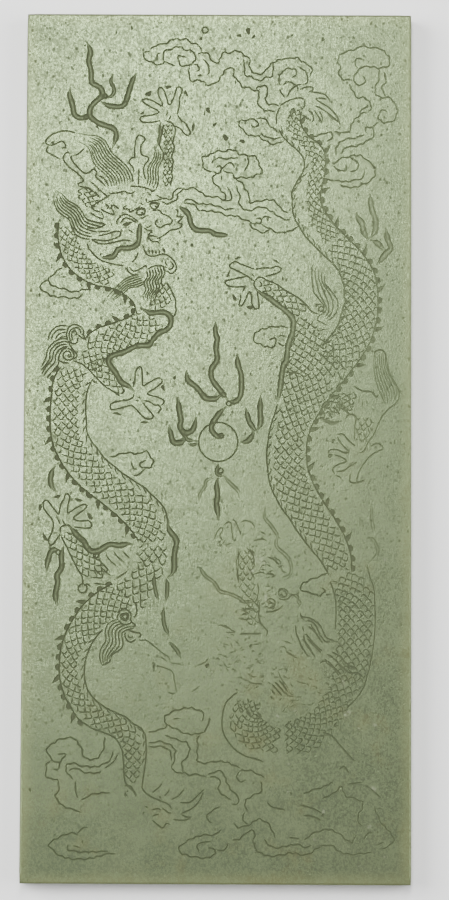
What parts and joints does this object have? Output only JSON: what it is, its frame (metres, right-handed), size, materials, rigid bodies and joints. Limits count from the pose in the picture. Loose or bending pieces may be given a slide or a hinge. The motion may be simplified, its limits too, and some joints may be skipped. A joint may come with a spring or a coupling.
{
  "type": "carved stone book cover",
  "caption": "Thin flat rectangular jade tablet with softened edges, its face engraved with dragons, a flaming pearl and cloud scrolls. Cover leaf for a book of stone leaves.",
  "frame": {"origin": "middle of the underside of the tablet, on its resting plane", "axes": "+X towards the right edge of the carved face, +Y towards its top edge, +Z out of the carved face"},
  "size_m": [0.128, 0.288, 0.009],
  "materials": {
    "green_jade": "polished dark green nephrite with paler edges and dark pits"
  },
  "bodies": {
    "root": {"cover_slab": "green_jade"}
  },
  "joints": []
}
